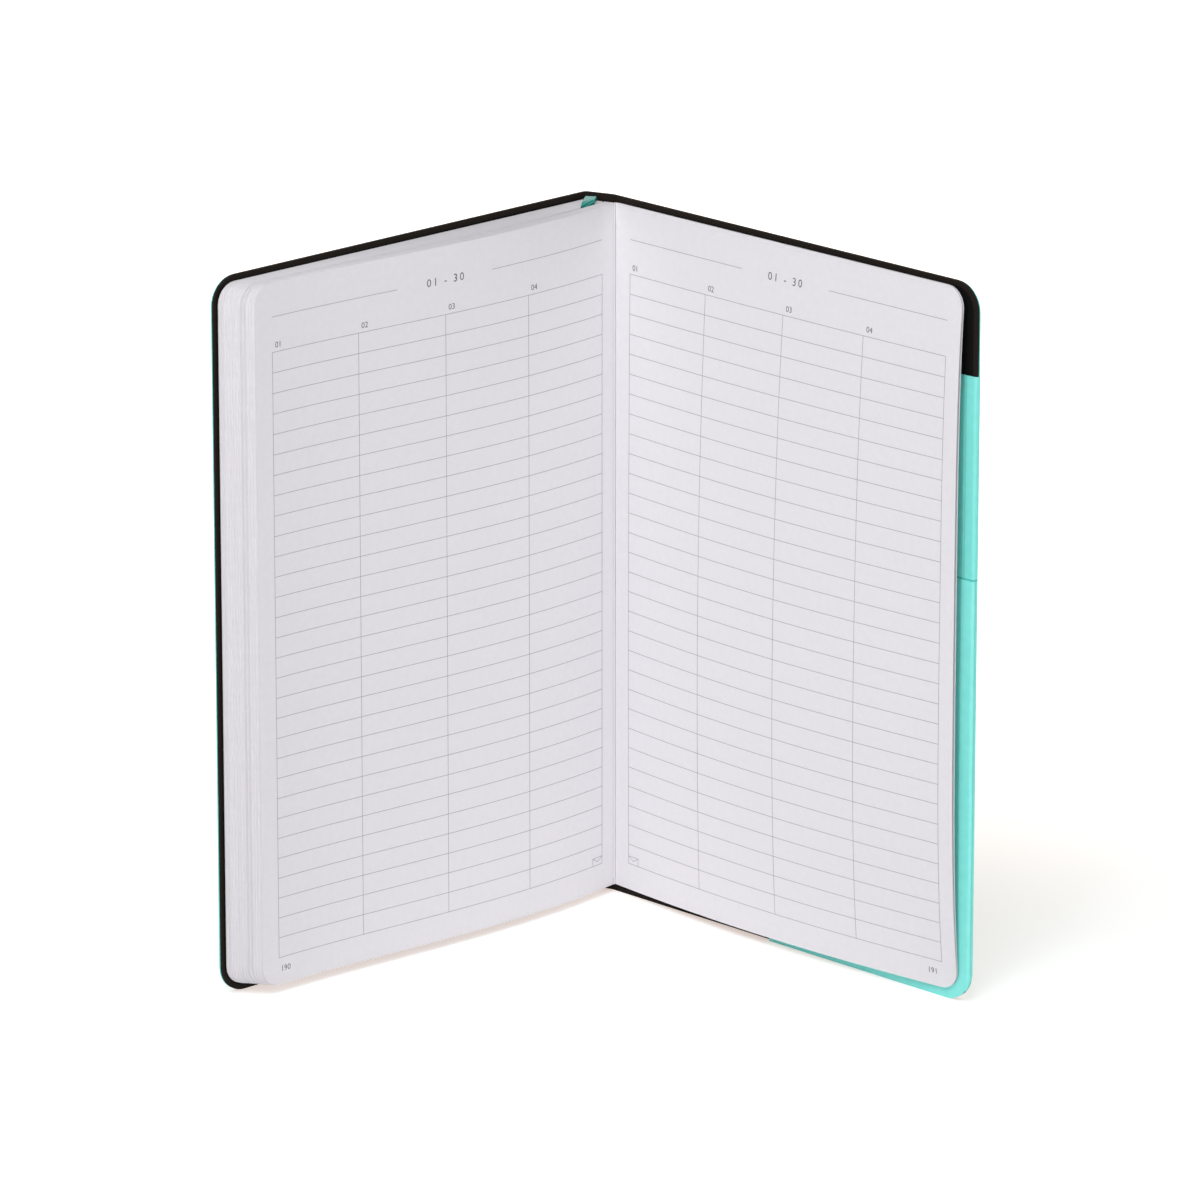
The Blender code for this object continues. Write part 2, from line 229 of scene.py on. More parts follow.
def mottle(tree, grain, detail, dark, light):
    """Two tones clouded at the size of a grain: flat coordinates, colour and the cloud itself."""
    uv = add(tree, "ShaderNodeTexCoord").outputs["UV"]
    cloud = add(tree, "ShaderNodeTexNoise", {"Vector": uv, "Scale": 1 / grain, "Detail": detail})
    tint = add(tree, "ShaderNodeMix", {
        "Factor": cloud.outputs["Fac"], "A": linear(dark), "B": linear(light)}, data_type="RGBA")
    return uv, tint.outputs["Result"], cloud.outputs["Fac"]


# Uncoated wood-free paper, calendered on one pass: a soft cool white with a faint cloud of
# fibres and no gloss. The fibre cloud is about 2 mm, and the tooth is drawn at 0.4 mm,
# coarser than real, so that it shows at all.
FIBRE_CLOUD = 2.0 * MM
TOOTH_DRAWN = 0.4 * MM


def paper_nodes(tree):
    """The flat coordinates of the writing paper, its colour and its bump."""
    uv, tint = mottle(tree, FIBRE_CLOUD, 4.0, "#DFDDE2", "#E6E4E8")[:2]
    tooth = add(tree, "ShaderNodeTexNoise", {"Vector": uv, "Scale": 1 / TOOTH_DRAWN, "Detail": 3.0})
    bump = add(tree, "ShaderNodeBump", {
        "Height": tooth.outputs["Fac"], "Distance": 0.010 * MM, "Strength": 0.6})
    return uv, tint, bump.outputs["Normal"]


writing_paper, tree = new_material("uncoated_writing_paper")
tint, normal = paper_nodes(tree)[1:]
shader = add(tree, "ShaderNodeBsdfPrincipled", {
    "Base Color": tint, "Roughness": 0.85, "IOR": 1.5, "Normal": normal,
    "Specular IOR Level": 0.3})
add(tree, "ShaderNodeOutputMaterial", {"Surface": shader.outputs["BSDF"]})

# The same paper printed with a dot grid: grey dots of 0.5 mm, 5 mm apart, inside a margin.
DOT_PITCH = 5.0 * MM
DOT_RADIUS = 0.25 * MM
DOT_MARGIN = 5.0 * MM
DOTS_WIDE = (4.0 * MM, 128.0 * MM)
DOTS_HIGH = (PAGE_FOOT + DOT_MARGIN, PAGE_HEAD - DOT_MARGIN)
dotted_paper, tree = new_material("dot_grid_paper")
uv, tint, normal = paper_nodes(tree)
cells = add(tree, "ShaderNodeVectorMath", {0: uv, "Scale": 1 / DOT_PITCH}, operation="SCALE")
cell = add(tree, "ShaderNodeVectorMath", {0: cells.outputs["Vector"]}, operation="FRACTION")
centred = add(tree, "ShaderNodeVectorMath", {
    0: cell.outputs["Vector"], 1: (0.5, 0.5, 0.0)}, operation="SUBTRACT")
away = add(tree, "ShaderNodeVectorMath", {0: centred.outputs["Vector"]}, operation="LENGTH")
dot = add(tree, "ShaderNodeMath", {
    0: away.outputs["Value"], 1: DOT_RADIUS / DOT_PITCH}, operation="LESS_THAN")
spot_on_page = add(tree, "ShaderNodeSeparateXYZ", {"Vector": uv})
printed = dot.outputs["Value"]
for axis, (low, high) in (("X", DOTS_WIDE), ("Y", DOTS_HIGH)):
    inside = add(tree, "ShaderNodeMath", {
        0: spot_on_page.outputs[axis], 1: (low + high) / 2, 2: (high - low) / 2},
        operation="COMPARE")
    printed = add(tree, "ShaderNodeMath", {
        0: printed, 1: inside.outputs["Value"]}, operation="MULTIPLY").outputs["Value"]
dotted = add(tree, "ShaderNodeMix", {
    "Factor": printed, "A": tint, "B": linear("#A9A7AD")}, data_type="RGBA")
shader = add(tree, "ShaderNodeBsdfPrincipled", {
    "Base Color": dotted.outputs["Result"], "Roughness": 0.85, "IOR": 1.5, "Normal": normal,
    "Specular IOR Level": 0.3})
add(tree, "ShaderNodeOutputMaterial", {"Surface": shader.outputs["BSDF"]})

PAGE_ROWS = [0.0, 1.0]
for number in range(1, SIGNATURES + 1):
    body = f"signature_{number:02d}"
    joint = "block_close" if number == 1 else f"{body}_close"
    fold = hinge(joint)
    share = (number - 0.5) / SIGNATURES
    gather = chance.uniform(-GATHER_JITTER, GATHER_JITTER)
    low_settle, high_settle = SETTLED.get(number, (0.0, 0.0))
    shape = bmesh.new()
    for leaf in range(LEAVES if number < SIGNATURES else LEAVES - 1):
        width = PAGE_WIDTH - PAGE_STEP * (number - 1 + leaf / LEAVES)
        width += gather + chance.uniform(-FORE_JITTER, FORE_JITTER)
        lift = (leaf - (LEAVES - 1) / 2) * LEAF_PITCH
        settle = low_settle + (high_settle - low_settle) * leaf / (LEAVES - 1)
        place = left_leaf(fold, lift, share, settle)
        span = rounded_span(width, PAGE_FOOT, PAGE_HEAD, PAGE_CORNER)
        add_sheet(shape, leaf_runs(width), PAGE_ROWS, span, place,
                  -LEAF_THICK / 2, LEAF_THICK / 2)
    gathering = piece(f"gathering_{number:02d}", shape, dotted_paper)
    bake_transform(gathering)
    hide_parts(body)


# Front flyleaf: one loose sheet of the same paper in front of the first signature, tipped
# on along its fold with a line of paste.
FLYLEAF_LIFT = -0.50 * MM
fold = hinge("block_close")
share = 0.5 / SIGNATURES
shape = bmesh.new()
add_sheet(shape, leaf_runs(PAGE_WIDTH), PAGE_ROWS,
          rounded_span(PAGE_WIDTH, PAGE_FOOT, PAGE_HEAD, PAGE_CORNER),
          left_leaf(fold, FLYLEAF_LIFT, share), -LEAF_THICK, LEAF_THICK)
front_flyleaf = piece("front_flyleaf_sheet", shape, writing_paper)
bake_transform(front_flyleaf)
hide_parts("front_flyleaf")


# Back of the block: the folds of the signatures, rounded and set in a coat of bookbinding
# glue, then the linen thread of the sewing and a strip of open mull pasted over them.
BACK_FRONT = 0.04 * MM
BACK_DEPTH = 0.62 * MM
FOLD_HALF = 0.30 * MM
FOLD_BULGE = 0.18 * MM
THREAD_RADIUS = 0.14 * MM
THREAD_CLEAR = 0.02 * MM
THREAD_END = 24.0 * MM
STITCHES = 5
GLUE_SHORT = 1.5 * MM
MULL_THICK = 0.20 * MM
MULL_RIDGE = 0.2 * MULL_THICK
MULL_CLEAR = 0.04 * MM
MULL_END = 12.0 * MM


def folds_line():
    """Folds in order with the outward direction behind each: the row bends at the ribbon."""
    names = ["block_close"] + [f"signature_{n:02d}_close" for n in range(2, SIGNATURES + 1)]
    spots = [hinge(name) for name in names]
    out = []
    for i, spot in enumerate(spots):
        along_row = (spots[min(i + 1, SIGNATURES - 1)] - spots[max(i - 1, 0)]).normalized()
        out.append((spot, along_row, Vector((-along_row.y, along_row.x))))
    return out


def back_profile(inner, outer, bulge, points=5):
    """Plan outline behind the folds: a straight inner side and one rounded ridge per fold."""
    front, back = [], []
    for spot, along_row, behind in folds_line():
        front.append(spot + behind * inner - along_row * FOLD_HALF)
        front.append(spot + behind * inner + along_row * FOLD_HALF)
        for step in range(points):
            side = -1.0 + 2.0 * step / (points - 1)
            swell = bulge * math.cos(side * math.pi / 2)
            back.append(spot + behind * (outer + swell) + along_row * side * FOLD_HALF)
    return front + back[::-1]


def add_prism(shape, outline, low, high):
    """Adds an upright prism on a plan outline."""
    flat = shape.loops.layers.uv.verify()
    foot = [shape.verts.new(upright(spot, low)) for spot in outline]
    head = [shape.verts.new(upright(spot, high)) for spot in outline]
    made = [shape.faces.new(foot), shape.faces.new(head)]
    for i in range(len(outline)):
        j = (i + 1) % len(outline)
        made.append(shape.faces.new((foot[i], foot[j], head[j], head[i])))
    for face in made:
        for loop in face.loops:
            loop[flat].uv = (loop.vert.co.x + loop.vert.co.y, loop.vert.co.z)
    bmesh.ops.recalc_face_normals(shape, faces=made)


# Dried hide glue over paper folds: ivory and slightly shiny, with runs about 1.5 mm wide.
GLUE_RUN = 1.5 * MM
glued_folds, tree = new_material("glued_paper_folds")
tint, runs_of_glue = mottle(tree, GLUE_RUN, 3.0, "#CFC8B8", "#E9E5DC")[1:]
bump = add(tree, "ShaderNodeBump", {
    "Height": runs_of_glue, "Distance": 0.05 * MM, "Strength": 0.5})
shader = add(tree, "ShaderNodeBsdfPrincipled", {
    "Base Color": tint, "Roughness": 0.45, "IOR": 1.48, "Normal": bump.outputs["Normal"]})
add(tree, "ShaderNodeOutputMaterial", {"Surface": shader.outputs["BSDF"]})

shape = bmesh.new()
add_prism(shape, back_profile(-BACK_FRONT, BACK_DEPTH, FOLD_BULGE),
          PAGE_FOOT + GLUE_SHORT, PAGE_HEAD - GLUE_SHORT)
back_of_block = piece("back_of_block", shape, glued_folds)
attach(back_of_block, "spine")
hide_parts("sewn_back")

# Waxed linen thread, two plies twisted: off-white, with a slanting shade at each twist. The
# twist is about 0.6 mm, and its shade is drawn several times longer, so that it shows.
TWIST = 0.6 * MM
linen_thread, tree = new_material("waxed_linen_thread")
spots = add(tree, "ShaderNodeTexCoord").outputs["Object"]
twist = add(tree, "ShaderNodeTexWave", {
    "Vector": spots, "Scale": 1 / TWIST / 20, "Distortion": 0.6, "Detail": 1.0},
    bands_direction="DIAGONAL")
tint = add(tree, "ShaderNodeMix", {
    "Factor": twist.outputs["Fac"], "A": linear("#CDC6B6"), "B": linear("#EFEBE1")},
    data_type="RGBA")
bump = add(tree, "ShaderNodeBump", {
    "Height": twist.outputs["Fac"], "Distance": 0.04 * MM, "Strength": 0.8})
shader = add(tree, "ShaderNodeBsdfPrincipled", {
    "Base Color": tint.outputs["Result"], "Roughness": 0.6, "IOR": 1.53,
    "Normal": bump.outputs["Normal"]})
add(tree, "ShaderNodeOutputMaterial", {"Surface": shader.outputs["BSDF"]})

THREAD_DEPTH = BACK_DEPTH + FOLD_BULGE + THREAD_RADIUS + THREAD_CLEAR
route = []
for stitch in range(STITCHES):
    z = PAGE_FOOT + THREAD_END
    z += (PAGE_HEAD - PAGE_FOOT - 2 * THREAD_END) * stitch / (STITCHES - 1)
    row = folds_line()
    if stitch % 2:
        row = row[::-1]
    for spot, along_row, behind in row:
        route.append(upright(spot + behind * THREAD_DEPTH, z))
thread_curve = bpy.data.curves.new("sewing_thread_run", "CURVE")
thread_curve.dimensions = "3D"
thread_curve.bevel_depth = THREAD_RADIUS
thread_curve.bevel_resolution = 2
thread_curve.use_fill_caps = True
thread_curve.materials.append(linen_thread)
spline = thread_curve.splines.new("POLY")
spline.points.add(len(route) - 1)
for point, spot in zip(spline.points, route):
    point.co = (*spot, 1.0)
sewing_run = bpy.data.objects.new("sewing_thread_run", thread_curve)
bpy.context.scene.collection.objects.link(sewing_run)
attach(sewing_run, "spine")
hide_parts("sewing_thread")

# Open cotton mull, starched: a loose plain weave, its threads 1 mm apart one way and 2 mm
# the other.
WEAVE = 2.0 * MM
mull, tree = new_material("starched_cotton_mull")
uv = add(tree, "ShaderNodeTexCoord").outputs["UV"]
weave = add(tree, "ShaderNodeTexBrick", {
    "Vector": uv, "Color1": linear("#E8E4DA"), "Color2": linear("#DFDACD"),
    "Mortar": linear("#A79F8D"), "Scale": 1 / WEAVE, "Mortar Size": 0.12, "Brick Width": 1.0,
    "Row Height": 0.5})
bump = add(tree, "ShaderNodeBump", {
    "Height": weave.outputs["Fac"], "Distance": 0.06 * MM, "Strength": 0.8}, invert=True)
shader = add(tree, "ShaderNodeBsdfPrincipled", {
    "Base Color": weave.outputs["Color"], "Roughness": 0.9, "IOR": 1.5,
    "Normal": bump.outputs["Normal"]})
add(tree, "ShaderNodeOutputMaterial", {"Surface": shader.outputs["BSDF"]})

MULL_DEPTH = THREAD_DEPTH + THREAD_RADIUS + MULL_CLEAR
shape = bmesh.new()
add_prism(shape, back_profile(MULL_DEPTH, MULL_DEPTH + MULL_THICK - MULL_RIDGE, MULL_RIDGE, 3),
          PAGE_FOOT + MULL_END, PAGE_HEAD - MULL_END)
mull_strip = piece("mull_strip", shape, mull)
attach(mull_strip, "spine")
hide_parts("spine_gauze")


# Cover: a thin flexible case cut flush at its edges. Turquoise leatherette is laminated to a
# black board that runs round the spine, and black paper lines the two panels inside.
# It is scored beside the spine, so each joint line bends without a separate hinge.
COVER_WIDTH = 140.0 * MM
COVER_HEIGHT = 210.0 * MM
COVER_CORNER = 8.0 * MM
WING = 3.0 * MM
HINGE_STRIP = 5.0 * MM
SKIN = 0.45 * MM
BOARD = 0.80 * MM
LINING = 0.20 * MM
LINING_INSET = 1.5 * MM
SKIN_CRUSH = 0.2 * MM
BACK_TURN = math.radians(-44.0)
FRONT_EDGE_RADIUS = 2.2 * MM
BACK_EDGE_RADIUS = 4.0 * MM
SEAM = 1.5 * MM
BEND = 1.3 * MM
BEND_WIDE = 1.8 * MM
BEND_STEP = 0.35 * MM
PANEL_STEP = 12.0 * MM
CORNER_STEPS = 10
DIGITS = 7
front_along = heading(FRONT_TURN)
back_along = heading(BACK_TURN)
front_corner = hinge("front_hinge_bend") - front_along * WING
back_corner = hinge("back_cover_hinge") - back_along * WING
spine_along = (back_corner - front_corner).normalized()
spine_width = (back_corner - front_corner).length


def inward(travel):
    return Vector((travel.y, -travel.x))


def cover_line(run):
    """Outer line of the cover in plan and its inward direction. Run 0 is the front corner of
    the spine: the front cover lies before it, and the back cover after the spine's width."""
    corners = (
        (0.0, front_corner, -front_along, spine_along, FRONT_EDGE_RADIUS),
        (spine_width, back_corner, spine_along, back_along, BACK_EDGE_RADIUS))
    for at, corner, before, after, radius in corners:
        turn = before.angle(after)
        reach = radius * math.tan(turn / 2)
        if abs(run - at) < reach:
            share = (run - at + reach) / (2 * reach)
            start = math.atan2(before.y, before.x)
            travel = heading(start - turn * share)
            centre = corner - before * reach + inward(before) * radius
            return centre - inward(travel) * radius, inward(travel)
    if run < 0:
        return front_corner - front_along * run, inward(-front_along)
    if run < spine_width:
        return front_corner + spine_along * run, inward(spine_along)
    return back_corner + back_along * (run - spine_width), inward(back_along)


def cover_place(run, z, depth):
    spot, into = cover_line(run)
    return upright(spot + into * depth, z)


def cover_runs(start, end, fine):
    """Columns of a cover piece: close together inside the fine stretches, else wide apart."""
    tolerance = MM / 1000
    runs = {round(start, DIGITS), round(end, DIGITS)}
    for low, high in fine:
        count = max(4, round((high - low) / BEND_STEP))
        runs.update(round(low + (high - low) * i / count, DIGITS) for i in range(count + 1))
    wide = round((end - start) / PANEL_STEP)
    runs.update(
        round(start + (end - start) * i / max(1, wide), DIGITS) for i in range(wide + 1))
    return sorted(run for run in runs if start - tolerance <= run <= end + tolerance)


def corner_arc(edge, inside, radius):
    """Columns along a rounded fore corner, as a stretch from the edge inwards."""
    side = 1.0 if inside > edge else -1.0
    turns = [math.pi / 2 * step / CORNER_STEPS for step in range(CORNER_STEPS + 1)]
    return [edge + side * radius * (1 - math.sin(turn)) for turn in turns]


def cover_span(inset, crush=0.0):
    """Foot and head of the cover at a run, with its four outer corners rounded. Crush is how far
    the knife has pressed the soft skin back at the head."""
    def span(run):
        edge = COVER_WIDTH - inset
        past = max(-run, run - spine_width)
        return rounded_span(edge, inset, COVER_HEIGHT - inset - crush, COVER_CORNER - inset)(past)
    return span


# Polyurethane leatherette, embossed with a fine pebble and left matt: turquoise, with a soft
# sheen on the pebbles and painted shade in the hollows between them. The pebble is 0.5 mm,
# drawn at 0.9 mm so that it shows, and the dye clouds over about 14 mm.
PEBBLE_DRAWN = 0.9 * MM
DYE_CLOUD = 14.0 * MM
leatherette, tree = new_material("turquoise_leatherette")
uv, tint = mottle(tree, DYE_CLOUD, 3.0, "#70E2DA", "#82F0E8")[:2]
pebble = add(tree, "ShaderNodeTexVoronoi", {
    "Vector": uv, "Scale": 1 / PEBBLE_DRAWN, "Smoothness": 0.7}, feature="SMOOTH_F1")
# Painted shade: the colour is mixed darker away from the middle of each pebble, in the hollows
# between them.
painted_pebble_shade = add(tree, "ShaderNodeMix", {
    "Factor": pebble.outputs["Distance"], "A": tint, "B": linear("#5ACFC6")}, data_type="RGBA")
bump = add(tree, "ShaderNodeBump", {
    "Height": pebble.outputs["Distance"], "Distance": 0.06 * MM, "Strength": 0.55}, invert=True)
shader = add(tree, "ShaderNodeBsdfPrincipled", {
    "Base Color": painted_pebble_shade.outputs["Result"], "Roughness": 0.48, "IOR": 1.5,
    "Normal": bump.outputs["Normal"], "Sheen Weight": 0.1})
add(tree, "ShaderNodeOutputMaterial", {"Surface": shader.outputs["BSDF"]})

# Black dyed board: pressed fibres in flecks of 0.8 mm, matt and slightly brown.
BOARD_FLECK = 0.8 * MM
black_board, tree = new_material("black_dyed_board")
tint, fibre = mottle(tree, BOARD_FLECK, 4.0, "#15110F", "#261F1B")[1:]
bump = add(tree, "ShaderNodeBump", {"Height": fibre, "Distance": 0.03 * MM, "Strength": 0.5})
shader = add(tree, "ShaderNodeBsdfPrincipled", {
    "Base Color": tint, "Roughness": 0.85, "IOR": 1.5,
    "Normal": bump.outputs["Normal"], "Specular IOR Level": 0.15})
add(tree, "ShaderNodeOutputMaterial", {"Surface": shader.outputs["BSDF"]})

# Black lining paper, dyed through and pasted down: deep and even, with a faint tooth of
# 0.5 mm.
LINING_TOOTH = 0.5 * MM
lining_paper, tree = new_material("black_lining_paper")
tint, tooth = mottle(tree, LINING_TOOTH, 3.0, "#060606", "#0F0E0E")[1:]
bump = add(tree, "ShaderNodeBump", {"Height": tooth, "Distance": 0.012 * MM, "Strength": 0.5})
shader = add(tree, "ShaderNodeBsdfPrincipled", {
    "Base Color": tint, "Roughness": 0.8, "IOR": 1.5,
    "Normal": bump.outputs["Normal"], "Specular IOR Level": 0.12})
add(tree, "ShaderNodeOutputMaterial", {"Surface": shader.outputs["BSDF"]})

BOARD_ROWS = [0.0, 0.25, 0.5, 0.75, 1.0]
cover_end = spine_width + COVER_WIDTH
score_run = -(WING + HINGE_STRIP)
hinge_run = -WING
back_run = spine_width + WING
mid_hinge = (score_run + hinge_run) / 2
score_zone = (score_run - BEND_WIDE, score_run + BEND_WIDE)
hinge_zone = (hinge_run - BEND, hinge_run + BEND)
back_zone = (back_run - BEND, back_run + BEND)
spine_zone = (hinge_run + SEAM, back_run - SEAM)
front_arc = corner_arc(-COVER_WIDTH, 0.0, COVER_CORNER)
back_arc = corner_arc(cover_end, 0.0, COVER_CORNER)
layers = (
    ("skin", 0.0, SKIN, SKIN_CRUSH, leatherette, "leatherette"),
    ("board", SKIN, SKIN + BOARD, 0.0, black_board, "cover_board"))
panels = (
    ("front_cover", -COVER_WIDTH, mid_hinge, [score_zone], front_arc),
    ("front_hinge", mid_hinge, hinge_run + SEAM, [hinge_zone], []),
    ("spine", hinge_run + SEAM, back_run - SEAM, [spine_zone], []),
    ("back_cover", back_run - SEAM, cover_end, [back_zone], back_arc))
bends = {
    "front_cover": ("front_hinge", score_run + BEND_WIDE, score_run - BEND_WIDE),
    "front_hinge": ("spine", hinge_run + BEND, hinge_run - BEND),
    "back_cover": ("spine", back_run - BEND, back_run + BEND)}


def straight_place(run):
    """The cover's outer line without its rounded edges, for the ends of a bend."""
    if run < 0:
        return upright(front_corner - front_along * run, 0.0)
    return upright(back_corner + back_along * (run - spine_width), 0.0)


for body, start, end, fine, arc in panels:
    runs = sorted(set(cover_runs(start, end, fine)) | {round(run, DIGITS) for run in arc})
    for layer, near, far, crush, material, slot in layers:
        shape = bmesh.new()
        add_sheet(shape, runs, BOARD_ROWS, cover_span(0.0, crush), cover_place, near, far)
        made = piece(f"{body}_{layer}_sheet", shape, material)
        if body in bends:
            first, bend_start, bend_end = bends[body]
            straight_place(bend_start)
            straight_place(bend_end)
            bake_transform(made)
        else:
            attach(made, body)
        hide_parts(f"{body}_{layer}")

LINING_FROM = 9.8 * MM
for body, start, end in (
        ("front_cover", LINING_INSET - COVER_WIDTH, -LINING_FROM),
        ("back_cover", spine_width + LINING_FROM, cover_end - LINING_INSET)):
    edge = start if body == "front_cover" else end
    arc = corner_arc(edge, 0.0, COVER_CORNER - LINING_INSET)
    runs = sorted(set(cover_runs(start, end, [])) | {round(run, DIGITS) for run in arc})
    shape = bmesh.new()
    add_sheet(shape, runs, BOARD_ROWS, cover_span(LINING_INSET), cover_place,
              SKIN + BOARD, SKIN + BOARD + LINING)
    made = piece(f"{body}_lining_sheet", shape, lining_paper)
    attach(made, body)
    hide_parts(f"{body}_lining")


# Pocket: a turquoise paper pocket inside the back cover. Its back panel is pasted down and
# turned over the fore edge of the cover, and its front panel closes the lower part, with a
# pleated gusset at the fore edge and a fold along the foot that let it open.
POCKET_FROM = 64.0 * MM
POCKET_CREASE = 136.2 * MM
POCKET_EDGE = 138.9 * MM
POCKET_TURN_IN = 1.6 * MM
CREASE_SLOPE = 0.08
TURN_ROUND = 0.5
CREASE_WIDTH = 0.25 * MM
POCKET_FOOT = 0.05 * MM
POCKET_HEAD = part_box("pocket_back_panel")[1].z
POCKET_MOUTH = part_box("pocket_front_panel")[1].z
POCKET_CORNER = 8.2 * MM
POCKET_PANEL = 0.30 * MM
PASTE = 0.35 * MM
PANEL_GAP = 0.04 * MM
POCKET_BASE = SKIN + BOARD + LINING + PASTE
FRONT_PANEL_BASE = POCKET_BASE + POCKET_PANEL + PANEL_GAP
BACK_PANEL_TURN = math.radians(88)
FRONT_PANEL_TURN = math.radians(62)
POCKET_COLUMNS = 14
TURN_COLUMNS = 9
back_into = inward(back_along)


def back_spot(run, depth):
    return back_corner + back_along * run + back_into * depth


def turned_panel(base, turn_in, last):
    """Place on a pocket panel that lies flat as far as the crease, slopes to the fore edge of
    the cover and is turned over it. Its run goes on along the turn up to the angle last."""
    def place(run, z, depth):
        level = base - CREASE_SLOPE * max(0.0, min(run, POCKET_EDGE) - POCKET_CREASE)
        past = run - POCKET_EDGE
        if past <= 0:
            return upright(back_spot(run, level + depth), z)
        angle = last * past / POCKET_TURN_IN
        out = turn_in * math.sin(angle) ** TURN_ROUND
        down = math.cos(angle) ** TURN_ROUND
        return upright(back_spot(POCKET_EDGE + out + depth * (1 - down), (level + depth) * down), z)
    return place


def pocket_span(head):
    """Foot and head of a pocket panel at a run: only its lower fore corner is rounded."""
    rounded = rounded_span(POCKET_EDGE + POCKET_TURN_IN, POCKET_FOOT, 2 * head, POCKET_CORNER)
    return lambda run: (rounded(run)[0], head)


def pocket_runs():
    width = POCKET_CREASE - POCKET_FROM
    flat = [POCKET_FROM + width * i / POCKET_COLUMNS for i in range(POCKET_COLUMNS + 1)]
    crease = [POCKET_CREASE - CREASE_WIDTH, POCKET_CREASE + CREASE_WIDTH, POCKET_EDGE]
    turn = [POCKET_EDGE + POCKET_TURN_IN * i / TURN_COLUMNS for i in range(1, TURN_COLUMNS + 1)]
    arc = corner_arc(POCKET_EDGE + POCKET_TURN_IN, 0.0, POCKET_CORNER)
    return sorted({round(run, DIGITS) for run in flat + crease + turn + arc})


# Coated paper in the cover's turquoise, with a soft gloss and a slight orange peel of 3 mm.
# Shade is painted into the coating: a dark line 0.5 mm wide just above the mouth, a fainter
# one along the crease above it, and a deeper tone over the back panel that shows above the
# mouth.
PEEL = 3.0 * MM
SHADE_LINE_WIDTH = 0.5 * MM
CREASE_SHADE_LINE = POCKET_CREASE + 0.6 * MM
MOUTH_SHADE_LINE = POCKET_MOUTH + 0.3 * MM
CREASE_SHADE = 0.35
BACK_PANEL_SHADE = 0.12
pocket_paper, tree = new_material("turquoise_coated_paper")
uv, tint, peel = mottle(tree, PEEL, 3.0, "#80E4DC", "#90F1E9")
spots = add(tree, "ShaderNodeSeparateXYZ", {"Vector": uv})
# Painted shade: a dark line above the mouth, a fainter one along the crease, and a deeper tone over
# the back panel above the mouth.
mouth = add(tree, "ShaderNodeMath", {
    0: spots.outputs["Y"], 1: MOUTH_SHADE_LINE, 2: SHADE_LINE_WIDTH / 2}, operation="COMPARE")
crease = add(tree, "ShaderNodeMath", {
    0: spots.outputs["X"], 1: CREASE_SHADE_LINE, 2: SHADE_LINE_WIDTH / 2}, operation="COMPARE")
above = add(tree, "ShaderNodeMath", {
    0: spots.outputs["Y"], 1: MOUTH_SHADE_LINE}, operation="GREATER_THAN")
crease = add(tree, "ShaderNodeMath", {
    0: crease.outputs["Value"], 1: CREASE_SHADE, 2: BACK_PANEL_SHADE}, operation="MULTIPLY_ADD")
crease = add(tree, "ShaderNodeMath", {
    0: crease.outputs["Value"], 1: above.outputs["Value"]}, operation="MULTIPLY")
# pressed holds these three marks of painted shade.
pressed = add(tree, "ShaderNodeMath", {
    0: mouth.outputs["Value"], 1: crease.outputs["Value"]}, operation="MAXIMUM")
tint = add(tree, "ShaderNodeMix", {
    "Factor": pressed.outputs["Value"], "A": tint, "B": linear("#57BDB5")}, data_type="RGBA")
bump = add(tree, "ShaderNodeBump", {"Height": peel, "Distance": 0.04 * MM, "Strength": 0.4})
shader = add(tree, "ShaderNodeBsdfPrincipled", {
    "Base Color": tint.outputs["Result"], "Roughness": 0.6, "IOR": 1.5,
    "Specular IOR Level": 0.3, "Normal": bump.outputs["Normal"]})
add(tree, "ShaderNodeOutputMaterial", {"Surface": shader.outputs["BSDF"]})

POCKET_ROWS = [0.0, 0.02, 0.3, 0.65, 0.98, 1.0]
shape = bmesh.new()
add_sheet(shape, pocket_runs(), POCKET_ROWS, pocket_span(POCKET_HEAD),
          turned_panel(POCKET_BASE, POCKET_TURN_IN - POCKET_PANEL, BACK_PANEL_TURN),
          0.0, POCKET_PANEL)
pocket_back = piece("pocket_back_sheet", shape, pocket_paper)
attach(pocket_back, "back_cover")
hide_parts("pocket_back_panel")

shape = bmesh.new()
add_sheet(shape, pocket_runs(), POCKET_ROWS, pocket_span(POCKET_MOUTH),
          turned_panel(FRONT_PANEL_BASE, POCKET_TURN_IN, FRONT_PANEL_TURN), 0.0, POCKET_PANEL)
pocket_front = piece("pocket_front_sheet", shape, pocket_paper)
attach(pocket_front, "pocket_front")
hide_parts("pocket_front_panel")

PLEAT_STEPS = [0.0, 0.25, 0.5, 0.75, 1.0]
PLEAT_ROWS = [0.0, 0.5, 1.0]
PLEAT_THICK = 0.05 * MM
PLEAT_FOLD = 3.0 * MM
PLEAT_CLEAR = 0.005 * MM
PLEAT_LOW = POCKET_BASE + POCKET_PANEL + PLEAT_CLEAR
PLEAT_HIGH = FRONT_PANEL_BASE - PLEAT_CLEAR
BELOW_MOUTH = 2.0 * MM


def pleat(step):
    """How far a pleat is folded in at a step across it, and how high it stands there."""
    return PLEAT_FOLD * (1 - abs(2 * step - 1)), PLEAT_LOW + (PLEAT_HIGH - PLEAT_LOW) * step


def gusset_place(step, z, depth):
    fold_in, rise = pleat(step)
    return upright(back_spot(POCKET_CREASE - fold_in - depth, rise), z)


shape = bmesh.new()
add_sheet(shape, PLEAT_STEPS, PLEAT_ROWS,
          lambda step: (POCKET_FOOT + POCKET_CORNER, POCKET_MOUTH - BELOW_MOUTH),
          gusset_place, 0.0, PLEAT_THICK)
gusset = piece("pocket_gusset_sheet", shape, pocket_paper)
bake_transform(gusset)
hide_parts("pocket_fore_gusset")

FOOT_RISE = 0.3 * MM
FOOT_RUNS = [POCKET_FROM + 2.0 * MM, 95.0 * MM, POCKET_CREASE - POCKET_CORNER]


def foot_fold_place(run, step, depth):
    fold_in, rise = pleat(step)
    return upright(back_spot(run, rise), POCKET_FOOT + FOOT_RISE + fold_in + depth)


